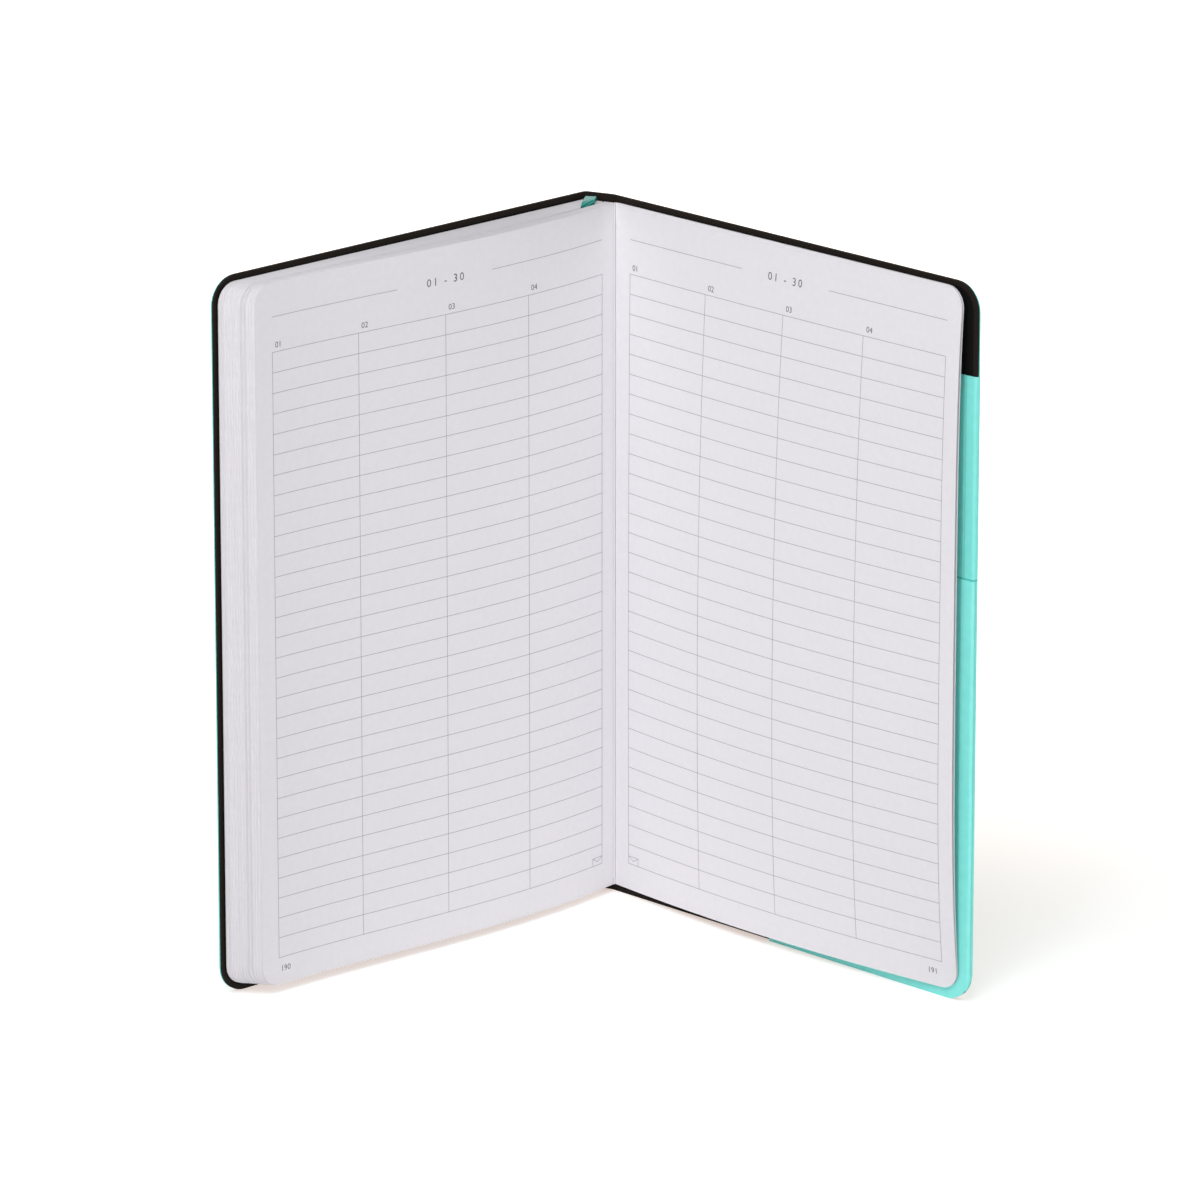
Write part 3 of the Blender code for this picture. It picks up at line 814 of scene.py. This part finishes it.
shape = bmesh.new()
add_sheet(shape, FOOT_RUNS, PLEAT_STEPS, lambda run: (0.0, 1.0), foot_fold_place,
          0.0, PLEAT_THICK)
foot_fold = piece("pocket_foot_sheet", shape, pocket_paper)
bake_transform(foot_fold)
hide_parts("pocket_bottom_fold")

SEAM_RUNS = [POCKET_FROM + 0.1 * MM, POCKET_FROM + 1.6 * MM]
SEAM_FOOT = POCKET_FOOT + 1.0 * MM
shape = bmesh.new()
add_sheet(shape, SEAM_RUNS, PLEAT_ROWS, lambda run: (SEAM_FOOT, POCKET_MOUTH - BELOW_MOUTH),
          lambda run, z, depth: upright(back_spot(run, PLEAT_LOW + depth), z),
          0.0, PLEAT_HIGH - PLEAT_LOW)
side_seam = piece("pocket_seam_sheet", shape, pocket_paper)
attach(side_seam, "back_cover")
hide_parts("pocket_side_seam")


# Last leaves: leaf 95 lies over the stack, and leaf 96 and the back flyleaf lean on the
# back cover. They are single sheets of the writing paper, springing from the last fold.
SHEET_HALF = 0.05 * MM
ROW_STEPS = 44
SPREAD_ROWS = [row / ROW_STEPS for row in range(ROW_STEPS + 1)]
last_left = hinge("leaf_095_turn")
last_right = hinge("leaf_096_turn")
back_fly_fold = hinge("back_flyleaf_push")
LEFT_WIDTH = PAGE_WIDTH - PAGE_STEP * SIGNATURES
LEFT_LIFT = -0.11 * MM
RIGHT_RISE = 0.5 * MM
FORE_TRIM = 1.3 * MM


def far_corner(node):
    """Plan spot of a right-hand leaf's fore edge, from its solid."""
    low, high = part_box(node)
    return Vector((high.x, low.y))


right_line = far_corner("leaf_096") - last_right
fly_line = far_corner("back_flyleaf") - back_fly_fold
RIGHT_WIDTH = right_line.length - FORE_TRIM
FLY_WIDTH = fly_line.length - FORE_TRIM
SWELL = 4.3 * MM
SWELL_AT = 76.0 * MM
SWELL_HALF = 128.0 * MM
SWELL_SKEW = 0.93
FLY_SWELL = 0.85
LEAN = -0.4 * MM
CURL = 3.0 * MM
CURL_AT = 112.0 * MM
CURL_HALF = 104.0 * MM


def page_swell(run, z, width):
    """How far a right-hand leaf stands off its flat place: a belly that fades to the head and
    the foot, and a fore edge that curls back at its two corners, most at the foot."""
    across = min(1.0, run / width)
    belly = SWELL * (1 - ((z - SWELL_AT) / SWELL_HALF) ** 2)
    lean = LEAN + CURL * ((z - CURL_AT) / CURL_HALF) ** 4
    return belly * math.sin(math.pi * across ** SWELL_SKEW) - lean * across ** 2


def right_leaf(fold, line, scale):
    """Place on a leaf that leans on the back cover, with its share of the full swell."""
    along = line.normalized()
    toward = inward(along)
    width = line.length

    def place(run, z, depth):
        off = depth + scale * page_swell(run, z, width)
        return upright(fold + along * run + toward * off, z + sag(run, RIGHT_RISE))
    return place


left_page = left_leaf(last_left, LEFT_LIFT, 1.0)
right_page = right_leaf(last_right, right_line, 1.0)
fly_page = right_leaf(back_fly_fold, fly_line, FLY_SWELL)
front_across = Vector((-front_along.y, front_along.x))
right_toward = inward(right_line.normalized())


def fit_leaf(made, body, fold, toward):
    """A single leaf rides its own body."""
    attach(made, body)
    upright(toward, 0.0)
    upright(fold, 0.0)
    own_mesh(made)


for name, width, place, body, fold, toward in (
        ("leaf_095_sheet", LEFT_WIDTH, left_page, "leaf_095", last_left, front_across),
        ("leaf_096_sheet", RIGHT_WIDTH, right_page, "leaf_096", last_right, right_toward),
        ("back_flyleaf_sheet", FLY_WIDTH, fly_page, "back_flyleaf", back_fly_fold, right_toward)):
    shape = bmesh.new()
    add_sheet(shape, leaf_runs(width), SPREAD_ROWS,
              rounded_span(width, PAGE_FOOT, PAGE_HEAD, PAGE_CORNER), place,
              -SHEET_HALF, SHEET_HALF)
    made = piece(name, shape, writing_paper)
    fit_leaf(made, body, fold, toward)
    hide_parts(body)


# Gutter: the folded strip of writing paper that joins the last two leaves at the sewing. It
# dips between them, with a narrow slit along its middle.
GUTTER_DIP = 0.40 * MM
GUTTER_SLIT = 0.55 * MM
GUTTER_STEPS = [0.0, 0.15, 0.3, 0.44, 0.5, 0.56, 0.7, 0.85, 1.0]
shape = bmesh.new()


def gutter_place(step, z, depth):
    spot = last_left.lerp(last_right, step)
    dip = GUTTER_DIP * (1 - abs(2 * step - 1))
    if step == 0.5:
        dip += GUTTER_SLIT
    return upright(spot + Vector((0.0, 1.0)) * (dip + depth), z)


add_sheet(shape, GUTTER_STEPS, PAGE_ROWS,
          lambda step: (PAGE_FOOT - SPINE_SAG, PAGE_HEAD - SPINE_SAG),
          gutter_place, 0.0, 2 * SHEET_HALF)
gutter = piece("gutter_fold", shape, writing_paper)
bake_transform(gutter)


# Ribbon marker: a woven satin ribbon, glued behind the folds, brought over the head of the
# block and laid down between the eighth and ninth signatures.
RIBBON_WIDTH = 5.9 * MM
RIBBON_NECK = 3.2 * MM
RIBBON_THICK = 0.20 * MM
RIBBON_RUN = 3.5 * MM
RIBBON_TAB = 22.0 * MM
RIBBON_END = 14.0 * MM
RIBBON_RISE = 1.25 * MM
RIBBON_ROUND = 0.7
RIBBON_CLEAR = 0.10 * MM
RIBBON_BACK = MULL_DEPTH + MULL_THICK + RIBBON_CLEAR
RIBBON_LIFT = 0.34 * MM
RIBBON_SHARE = 8.0 / SIGNATURES
ribbon_fold = hinge("signature_08_close")
ribbon_leaf = left_leaf(ribbon_fold, RIBBON_LIFT, RIBBON_SHARE)
ribbon_neck, row_along, row_behind = folds_line()[2]
ribbon_head = PAGE_HEAD + sag(RIBBON_RUN, LEFT_RISE)


def ribbon_point(station, side):
    """Place on the ribbon: station 0 is the glued end, where it is flat, 1 is behind the head,
    where it is drawn together, 2 is the mouth of its gap and 3 its loose end."""
    drawn = min(1.0, station)
    width = RIBBON_WIDTH + (RIBBON_NECK - RIBBON_WIDTH) * drawn * drawn
    back = ribbon_neck + row_behind * RIBBON_BACK + row_along * (side - 0.5) * width
    slot = ribbon_leaf(RIBBON_RUN + RIBBON_WIDTH * (1 - side), 0.0, 0.0).to_2d()
    if station <= 1:
        return upright(back, ribbon_head - RIBBON_TAB * (1 - station))
    if station <= 2:
        share = station - 1
        rise = RIBBON_RISE * math.sin(math.pi * share) ** RIBBON_ROUND
        return upright(back.lerp(slot, smooth(share)), ribbon_head + rise)
    return upright(slot, ribbon_head + (RIBBON_END - ribbon_head) * (station - 2))


# Polyester satin: fine warp threads with a diagonal catch of light. Threads are 0.12 mm
# apart, and where the ribbon shows they are drawn about 1.1 mm apart, so that they show.
THREAD_DRAWN = 1.1 * MM
satin, tree = new_material("teal_polyester_satin")
uv = add(tree, "ShaderNodeTexCoord").outputs["UV"]
warp = add(tree, "ShaderNodeTexWave", {
    "Vector": uv, "Scale": 1 / THREAD_DRAWN / 20 * math.pi, "Distortion": 0.4},
    bands_direction="DIAGONAL")
tint = add(tree, "ShaderNodeMix", {
    "Factor": warp.outputs["Fac"], "A": linear("#0A655C"), "B": linear("#2C9C92")},
    data_type="RGBA")
bump = add(tree, "ShaderNodeBump", {
    "Height": warp.outputs["Fac"], "Distance": 0.06 * MM, "Strength": 0.7})
shader = add(tree, "ShaderNodeBsdfPrincipled", {
    "Base Color": tint.outputs["Result"], "Roughness": 0.5, "IOR": 1.54,
    "Normal": bump.outputs["Normal"], "Specular IOR Level": 0.3})
add(tree, "ShaderNodeOutputMaterial", {"Surface": shader.outputs["BSDF"]})

OVER_STEPS = 14
RIBBON_SIDES = [0.0, 0.25, 0.5, 0.75, 1.0]
stations = [0.0, 0.5, 0.9, 1.0]
stations += [1 + i / OVER_STEPS for i in range(1, OVER_STEPS + 1)]
stations += [2.01, 2.1, 2.4, 2.7, 3.0]
shape = bmesh.new()


def ribbon_place(station, side, depth):
    step = 0.004
    before = ribbon_point(max(stations[0], station - step), side)
    after = ribbon_point(min(stations[-1], station + step), side)
    across_it = ribbon_point(station, 1.0) - ribbon_point(station, 0.0)
    off = (after - before).cross(across_it).normalized() * depth
    return ribbon_point(station, side) + off


add_sheet(shape, stations, RIBBON_SIDES, lambda station: (0.0, 1.0), ribbon_place,
          -RIBBON_THICK / 2, RIBBON_THICK / 2)
flat = shape.loops.layers.uv.verify()
for face in shape.faces:
    for loop in face.loops:
        station, side = loop[flat].uv
        loop[flat].uv = (side * RIBBON_WIDTH, station * RIBBON_TAB)
ribbon = piece("ribbon_marker", shape, satin, sharp=60.0)
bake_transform(ribbon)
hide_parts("ribbon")


# Print: the ruled table of the last spread, offset printed in grey. Every line, numeral and
# the small envelope sign is a thin film of ink lying on the page it belongs to.
INK_NEAR = SHEET_HALF + 0.012 * MM
INK_FAR = SHEET_HALF + 0.022 * MM
LINE_WIDTH = 0.15 * MM
LINE_CLEAR = 0.2 * MM
DOWN_STEPS = 80
TABLE_HEAD = 198.85 * MM
FIRST_LINE = 188.65 * MM
LINE_PITCH = 5.93 * MM
LINES = 31
COLUMNS = 4
TABLE_FROM = 5.3 * MM
LEFT_TABLE = 123.0 * MM
RIGHT_TABLE = 124.0 * MM
TITLE_GAP = 34.0 * MM
TITLE_HEIGHT = 2.3 * MM
TITLE_SPACING = 1.4
LABEL_HEIGHT = 1.7 * MM
LABEL_IN = 2.2 * MM
LABEL_RISE = 1.2 * MM
PAGE_NUMBER_IN = 8.5 * MM
PAGE_NUMBER_DROP = 4.2 * MM
NUMERAL_SHARE = 0.7
ENVELOPE_WIDTH = 4.3 * MM
ENVELOPE_HEIGHT = 2.3 * MM
ENVELOPE_FLAP = 0.55
last_line = FIRST_LINE - LINE_PITCH * (LINES - 1)

# Offset ink, dried matt into the paper: grey for the lines and darker for the numerals, a
# little uneven over every 1.2 mm.
INK_LAY = 1.2 * MM
inks = []
for name, dark, light in (
        ("grey_offset_ink", "#8E8C93", "#A4A2A8"), ("dark_offset_ink", "#58565B", "#6A686D")):
    ink, tree = new_material(name)
    tint = mottle(tree, INK_LAY, 2.0, dark, light)[1]
    shader = add(tree, "ShaderNodeBsdfPrincipled", {
        "Base Color": tint, "Roughness": 0.75, "IOR": 1.5, "Specular IOR Level": 0.3})
    add(tree, "ShaderNodeOutputMaterial", {"Surface": shader.outputs["BSDF"]})
    inks.append(ink)
line_ink, numeral_ink = inks


def across_line(shape, place, columns, z, start, end):
    """A rule across the page between two runs, with the page's own columns in between."""
    between = [run for run in columns if start + LINE_CLEAR < run < end - LINE_CLEAR]
    add_sheet(shape, [start] + between + [end], PAGE_ROWS,
              lambda run: (z - LINE_WIDTH / 2, z + LINE_WIDTH / 2), place, INK_NEAR, INK_FAR)


def down_line(shape, place, run, low, high):
    rows = [i / DOWN_STEPS for i in range(DOWN_STEPS + 1)]
    add_sheet(shape, [run - LINE_WIDTH / 2, run + LINE_WIDTH / 2], rows,
              lambda spot: (low, high), place, INK_NEAR, INK_FAR)


def slanted_line(shape, place, start, end):
    """A straight stroke between two spots of a page, each a run and a height."""
    slope = (end[1] - start[1]) / (end[0] - start[0])
    half = LINE_WIDTH / 2 * math.hypot(1.0, slope)

    def span(run):
        z = start[1] + slope * (run - start[0])
        return z - half, z + half
    add_sheet(shape, [start[0], end[0]], PAGE_ROWS, span, place, INK_NEAR, INK_FAR)


def numerals(shape, place, figures, height, run, z, way, spacing=1.0):
    """Numerals set on the page: they run towards the fore edge or the fold, as way says."""
    font = bpy.data.curves.new("numerals", "FONT")
    font.body = figures
    font.size = height / NUMERAL_SHARE
    font.space_character = spacing
    font.align_x = "CENTER"
    font.resolution_u = 3
    font.extrude = (INK_FAR - INK_NEAR) / 2
    set_type = bpy.data.objects.new("numerals", font)
    bpy.context.scene.collection.objects.link(set_type)
    cast = bpy.data.meshes.new_from_object(
        set_type.evaluated_get(bpy.context.evaluated_depsgraph_get()))
    bpy.data.objects.remove(set_type)
    bpy.data.curves.remove(font)
    before = set(shape.verts)
    shape.from_mesh(cast)
    bpy.data.meshes.remove(cast)
    new = [vert for vert in shape.verts if vert not in before]
    bmesh.ops.remove_doubles(shape, verts=new, dist=0.001 * MM)
    new = [vert for vert in shape.verts if vert not in before]
    middle = (INK_NEAR + INK_FAR) / 2
    for vert in new:
        vert.co = place(run + way * vert.co.x, z + vert.co.y, middle + vert.co.z)
    bmesh.ops.recalc_face_normals(shape, faces=shape.faces)


for side, place, width, table, page_number, body, fold, toward in (
        ("left", left_page, LEFT_WIDTH, LEFT_TABLE, "190",
         "leaf_095", last_left, front_across),
        ("right", right_page, RIGHT_WIDTH, RIGHT_TABLE, "191",
         "leaf_096", last_right, right_toward)):
    way = -1.0 if side == "left" else 1.0
    columns = leaf_runs(width)
    table_end = TABLE_FROM + table
    middle = TABLE_FROM + table / 2
    lines = bmesh.new()
    sign_end = TABLE_FROM + ENVELOPE_WIDTH
    sign_head = last_line + ENVELOPE_HEIGHT
    for line in range(LINES):
        across_line(lines, place, columns, FIRST_LINE - LINE_PITCH * line, TABLE_FROM, table_end)
    across_line(lines, place, columns, TABLE_HEAD, TABLE_FROM, middle - TITLE_GAP / 2)
    across_line(lines, place, columns, TABLE_HEAD, middle + TITLE_GAP / 2, table_end)
    for column in range(COLUMNS + 1):
        down_line(lines, place, TABLE_FROM + table * column / COLUMNS, last_line, FIRST_LINE)
    across_line(lines, place, columns, sign_head, TABLE_FROM, sign_end)
    down_line(lines, place, sign_end, last_line, sign_head)
    flap = ((TABLE_FROM + sign_end) / 2, sign_head - ENVELOPE_HEIGHT * ENVELOPE_FLAP)
    slanted_line(lines, place, (TABLE_FROM, sign_head), flap)
    slanted_line(lines, place, flap, (sign_end, sign_head))
    ruling = piece(f"{side}_page_ruling", lines, line_ink)
    fit_leaf(ruling, body, fold, toward)

    figures = bmesh.new()
    figures.loops.layers.uv.verify()
    numerals(figures, place, "01 - 30", TITLE_HEIGHT, middle, TABLE_HEAD - TITLE_HEIGHT / 2,
             way, TITLE_SPACING)
    for column in range(COLUMNS):
        start = TABLE_FROM + table * column / COLUMNS
        if side == "left":
            start = table_end - table * column / COLUMNS
        numerals(figures, place, f"{column + 1:02d}", LABEL_HEIGHT, start + way * LABEL_IN,
                 FIRST_LINE + LABEL_RISE, way)
    numerals(figures, place, page_number, LABEL_HEIGHT, width - PAGE_NUMBER_IN,
             last_line - PAGE_NUMBER_DROP, way)
    print_run = piece(f"{side}_page_numerals", figures, numeral_ink)
    fit_leaf(print_run, body, fold, toward)


# Studio: a plain white table top and room, with four round softboxes: one high in front, one
# low at either side of the front, and one behind. The camera stands where the open book is
# seen from slightly above.
TABLE_REACH = 4.0
SWEEP_END = 0.3
GLOW_FRONT = 0.61
GLOW_BACK = 1.1
ROOM_LIGHT = 0.15


def seen_directly(tree):
    """1 for what the eye sees, itself or in gloss or glass, and 0 for light on the book."""
    path = add(tree, "ShaderNodeLightPath")
    seen = path.outputs["Is Camera Ray"]
    for ray in ("Is Glossy Ray", "Is Transmission Ray"):
        either = add(tree, "ShaderNodeMath", {0: seen, 1: path.outputs[ray]}, operation="MAXIMUM")
        seen = either.outputs["Value"]
    return seen


# White laminate, matt: it keeps the shadow of the book. For the eye it also carries a warm
# painted glow, which brightens towards the back, where it meets the white of the room.
white_top, tree = new_material("white_matt_laminate")
matt = add(tree, "ShaderNodeBsdfDiffuse", {"Color": linear("#F4F3F2")})
shade = add(tree, "ShaderNodeBsdfDiffuse", {"Color": linear("#CBDCE4")})
spots = add(tree, "ShaderNodeTexCoord").outputs["Object"]
place = add(tree, "ShaderNodeSeparateXYZ", {"Vector": spots})
# Painted light: the glow grows from the front of the top towards the back.
sweep = add(tree, "ShaderNodeMapRange", {
    "Value": place.outputs["Y"], "From Min": 0.0, "From Max": SWEEP_END, "To Min": GLOW_FRONT,
    "To Max": GLOW_BACK}, interpolation_type="SMOOTHSTEP")
glow = add(tree, "ShaderNodeEmission", {
    "Color": linear("#FFEBE0"), "Strength": sweep.outputs["Result"]})
bright = add(tree, "ShaderNodeAddShader", {0: shade.outputs["BSDF"], 1: glow.outputs["Emission"]})
both = add(tree, "ShaderNodeMixShader", {
    0: seen_directly(tree), 1: matt.outputs["BSDF"], 2: bright.outputs["Shader"]})
add(tree, "ShaderNodeOutputMaterial", {"Surface": both.outputs["Shader"]})
shape = bmesh.new()
bmesh.ops.create_grid(shape, x_segments=1, y_segments=1, size=TABLE_REACH)
floor = piece("table_top", shape, white_top)

world = bpy.data.worlds.new("soft_white_room")
world.use_nodes = True
tree = world.node_tree
tree.nodes.clear()
backdrop = add(tree, "ShaderNodeBackground", {"Color": linear("#FFFFFF"), "Strength": 1.0})
ambient = add(tree, "ShaderNodeBackground", {"Color": linear("#FFFFFF"), "Strength": ROOM_LIGHT})
both = add(tree, "ShaderNodeMixShader", {
    0: seen_directly(tree), 1: ambient.outputs["Background"], 2: backdrop.outputs["Background"]})
add(tree, "ShaderNodeOutputWorld", {"Surface": both.outputs["Shader"]})
bpy.context.scene.world = world

aim = Vector((1.31, 0.0, 103.2)) * MM


def soft_light(name, spot, size, power):
    """A round softbox that faces the book: where it stands, how wide it is and its watts."""
    lamp = bpy.data.lights.new(name, "AREA")
    lamp.shape = "DISK"
    lamp.size = size
    lamp.energy = power
    made = bpy.data.objects.new(name, lamp)
    made.location = spot
    made.rotation_euler = (aim - Vector(spot)).to_track_quat("-Z", "Y").to_euler()
    bpy.context.scene.collection.objects.link(made)


soft_light("softbox_high", (-0.41, -1.01, 1.66), 1.4, 21.0)
soft_light("softbox_left", (-1.18, -2.65, 0.62), 0.7, 19.0)
soft_light("softbox_right", (1.70, -2.35, 0.62), 0.7, 18.4)
soft_light("softbox_back", (0.0, 1.4, 1.1), 1.0, 8.5)

CAMERA_RANGE = 2.6
CAMERA_TILT = math.radians(17.48)
CAMERA_LENS = 274.45
CAMERA_SENSOR = 36.0
lens = bpy.data.cameras.new("front_camera")
lens.sensor_width = CAMERA_SENSOR
lens.lens = CAMERA_LENS
camera = bpy.data.objects.new("front_camera", lens)
toward_eye = Vector((0.0, -math.cos(CAMERA_TILT), math.sin(CAMERA_TILT)))
camera.location = aim + toward_eye * CAMERA_RANGE
camera.rotation_euler = (math.pi / 2 - CAMERA_TILT, 0.0, 0.0)
bpy.context.scene.collection.objects.link(camera)
bpy.context.scene.camera = camera
bpy.context.scene.view_settings.view_transform = "Standard"
